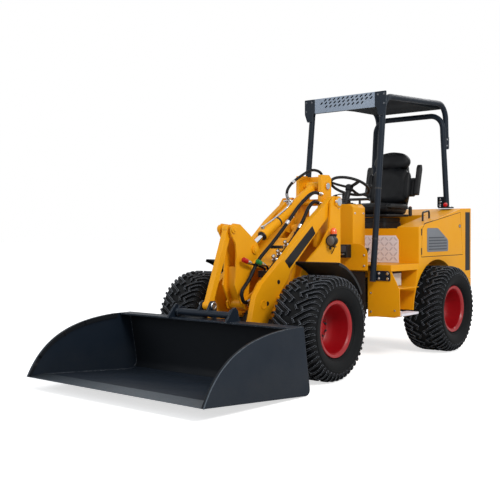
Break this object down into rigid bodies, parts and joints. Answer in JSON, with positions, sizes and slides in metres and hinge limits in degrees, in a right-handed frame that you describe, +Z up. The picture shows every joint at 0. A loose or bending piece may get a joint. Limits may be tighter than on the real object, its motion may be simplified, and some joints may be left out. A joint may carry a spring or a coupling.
{
  "type": "compact articulated wheel loader",
  "caption": "Compact wheel loader with a hinged frame, lifting boom with tilting bucket, open operator place under a tube canopy, and a rear engine hood on chunky tyres.",
  "frame": {"origin": "centre of the bounding box at the ground under the wheels", "axes": "-Y is forward towards the bucket, +X is the operator's left, +Z is up"},
  "size_m": [1.68, 4.192, 2.3248],
  "materials": {
    "yellow_paint": "gloss",
    "slate_paint": "satin",
    "red_paint": "gloss",
    "black_paint": "satin",
    "cast_metal": "matte",
    "tyre_rubber": "matte",
    "black_plastic": "matte",
    "seat_cover": "matte",
    "lamp_plastic": "gloss",
    "step_plate": "satin",
    "chrome": "polished",
    "hose_rubber": "satin"
  },
  "bodies": {
    "rear_body": {"rear_frame": "black_paint", "rear_axle": "cast_metal", "engine": "cast_metal", "counterweight": "yellow_paint", "hood": "yellow_paint", "rear_grille": "black_paint", "rear_lamp_left": "lamp_plastic", "rear_lamp_right": "lamp_plastic", "floor_pan": "yellow_paint", "console": "yellow_paint", "steering_column": "black_paint", "valve_box": "black_paint", "seat_base": "black_paint", "seat_cushion": "seat_cover", "seat_back": "seat_cover", "step_box_left": "yellow_paint", "step_box_right": "yellow_paint", "step_left": "step_plate", "step_right": "step_plate", "canopy_rail_left": "slate_paint", "canopy_rail_right": "slate_paint", "rear_hoop": "slate_paint", "roof_panel": "slate_paint", "visor": "slate_paint"},
    "front_body": {"front_frame": "yellow_paint", "front_axle": "cast_metal", "fender_left": "black_plastic", "fender_right": "black_plastic", "headlight_left": "lamp_plastic", "headlight_right": "lamp_plastic"},
    "wheel_front_left": {"tyre_front_left": "tyre_rubber", "rim_front_left": "red_paint"},
    "wheel_front_right": {"tyre_front_right": "tyre_rubber", "rim_front_right": "red_paint"},
    "wheel_rear_left": {"tyre_rear_left": "tyre_rubber", "rim_rear_left": "red_paint"},
    "wheel_rear_right": {"tyre_rear_right": "tyre_rubber", "rim_rear_right": "red_paint"},
    "boom": {"boom": "yellow_paint", "boom_hose_upper": "hose_rubber", "boom_hose_lower": "hose_rubber"},
    "lift_barrel": {"lift_barrel": "yellow_paint"},
    "lift_rod": {"lift_rod": "chrome"},
    "tilt_barrel": {"tilt_barrel": "yellow_paint", "tilt_hose": "hose_rubber"},
    "tilt_rod": {"tilt_rod": "chrome"},
    "tilt_lever": {"tilt_lever": "yellow_paint"},
    "tilt_link": {"tilt_link": "yellow_paint"},
    "bucket": {"bucket": "slate_paint", "coupler": "slate_paint"},
    "steering_barrel": {"steering_barrel": "black_paint"},
    "steering_rod": {"steering_rod": "chrome"},
    "steering_wheel": {"steering_wheel": "black_plastic"},
    "hood_door_left": {"hood_door_left": "yellow_paint"},
    "hood_door_right": {"hood_door_right": "yellow_paint"},
    "armrest_left": {"armrest_left": "black_plastic"},
    "armrest_right": {"armrest_right": "black_plastic"},
    "bucket_pin": {"bucket_pin": "chrome"},
    "lever_pin": {"lever_pin": "chrome"},
    "link_pin": {"link_pin": "chrome"}
  },
  "joints": [
    {"name": "articulation", "type": "hinge", "parent": "rear_body", "child": "front_body", "pos_m": [0, 0.395, 0.48], "axis": [0, 0, 1], "range_deg": [-40, 40]},
    {"name": "front_left_spin", "type": "hinge", "parent": "front_body", "child": "wheel_front_left", "pos_m": [0.565, -0.553, 0.384], "axis": [1, 0, 0], "continuous": true},
    {"name": "front_right_spin", "type": "hinge", "parent": "front_body", "child": "wheel_front_right", "pos_m": [-0.565, -0.553, 0.384], "axis": [1, 0, 0], "continuous": true},
    {"name": "rear_left_spin", "type": "hinge", "parent": "rear_body", "child": "wheel_rear_left", "pos_m": [0.565, 1.343, 0.384], "axis": [1, 0, 0], "continuous": true},
    {"name": "rear_right_spin", "type": "hinge", "parent": "rear_body", "child": "wheel_rear_right", "pos_m": [-0.565, 1.343, 0.384], "axis": [1, 0, 0], "continuous": true},
    {"name": "lift", "type": "hinge", "parent": "front_body", "child": "boom", "pos_m": [0, 0.155, 1.327], "axis": [-1, 0, 0], "range_deg": [0, 82]},
    {"name": "lift_cylinder_turn", "type": "hinge", "parent": "front_body", "child": "lift_barrel", "pos_m": [0, -0.225, 0.48], "axis": [-1, 0, 0], "range_deg": [-8.7, 0.1]},
    {"name": "lift_rod_slide", "type": "slide", "parent": "lift_barrel", "child": "lift_rod", "axis": [0, 0.2411, 0.9705], "range_m": [-0.001, 0.397]},
    {"name": "tilt_cylinder_turn", "type": "hinge", "parent": "front_body", "child": "tilt_barrel", "pos_m": [0, 0.19, 1.462], "axis": [-1, 0, 0], "range_deg": [-0.1, 85.4]},
    {"name": "bucket_level", "type": "hinge", "parent": "boom", "child": "bucket_pin", "pos_m": [0, -1, 0.215], "axis": [-1, 0, 0], "range_deg": [-42.8, 0.1]},
    {"name": "bucket_tilt", "type": "hinge", "parent": "bucket_pin", "child": "bucket", "pos_m": [0, -1, 0.215], "axis": [1, 0, 0], "range_deg": [-32, 77]},
    {"name": "lever_level", "type": "hinge", "parent": "boom", "child": "lever_pin", "pos_m": [0, -0.795, 0.552], "axis": [-1, 0, 0], "range_deg": [-30.8, 0.1]},
    {"name": "tilt_lever_turn", "type": "hinge", "parent": "lever_pin", "child": "tilt_lever", "pos_m": [0, -0.795, 0.552], "axis": [1, 0, 0], "range_deg": [-23.1, 55.6]},
    {"name": "link_level", "type": "hinge", "parent": "bucket", "child": "link_pin", "pos_m": [0, -1.14, 0.56], "axis": [-1, 0, 0], "range_deg": [-0.1, 31.8]},
    {"name": "tilt_link_turn", "type": "hinge", "parent": "link_pin", "child": "tilt_link", "pos_m": [0, -1.14, 0.56], "axis": [1, 0, 0], "range_deg": [-57.3, 23.9]},
    {"name": "tilt_rod_slide", "type": "slide", "parent": "tilt_barrel", "child": "tilt_rod", "axis": [0, -0.8651, -0.5015], "range_m": [-0.139, 0.333]},
    {"name": "steering_cylinder_turn", "type": "hinge", "parent": "rear_body", "child": "steering_barrel", "pos_m": [-0.235, 0.955, 0.505], "axis": [0, 0, 1], "range_deg": [-2.3, 2.3]},
    {"name": "steering_rod_slide", "type": "slide", "parent": "steering_barrel", "child": "steering_rod", "axis": [0.0322, -0.9995, 0], "range_m": [-0.142, 0.142]},
    {"name": "steering_wheel_turn", "type": "hinge", "parent": "rear_body", "child": "steering_wheel", "pos_m": [0, 0.74, 1.487], "axis": [0, 0.4226, 0.9063], "continuous": true},
    {"name": "hood_door_left_swing", "type": "hinge", "parent": "rear_body", "child": "hood_door_left", "pos_m": [0.55, 1.047, 1], "axis": [0, 0, -1], "range_deg": [0, 95]},
    {"name": "hood_door_right_swing", "type": "hinge", "parent": "rear_body", "child": "hood_door_right", "pos_m": [-0.55, 1.047, 1], "axis": [0, 0, 1], "range_deg": [0, 95]},
    {"name": "armrest_left_fold", "type": "hinge", "parent": "rear_body", "child": "armrest_left", "pos_m": [0.269, 1.477, 1.44], "axis": [1, 0, 0], "range_deg": [0, 90]},
    {"name": "armrest_right_fold", "type": "hinge", "parent": "rear_body", "child": "armrest_right", "pos_m": [-0.269, 1.477, 1.44], "axis": [1, 0, 0], "range_deg": [0, 90]}
  ],
  "couplings": [
    {"joint": "lift_cylinder_turn", "follows": "lift", "ratio": -0.105},
    {"joint": "lift_rod_slide", "follows": "lift", "m_per_rad": 0.2764},
    {"joint": "tilt_cylinder_turn", "follows": "lift", "ratio": 1.04},
    {"joint": "bucket_level", "follows": "lift", "ratio": -0.52},
    {"joint": "lever_level", "follows": "lift", "ratio": -0.374},
    {"joint": "link_level", "follows": "lift", "ratio": 0.386},
    {"joint": "tilt_lever_turn", "follows": "bucket_tilt", "ratio": 0.7195},
    {"joint": "tilt_link_turn", "follows": "bucket_tilt", "ratio": -0.742},
    {"joint": "tilt_rod_slide", "follows": "bucket_tilt", "m_per_rad": 0.2464},
    {"joint": "steering_cylinder_turn", "follows": "articulation", "ratio": 0.056},
    {"joint": "steering_rod_slide", "follows": "articulation", "m_per_rad": 0.2028}
  ]
}
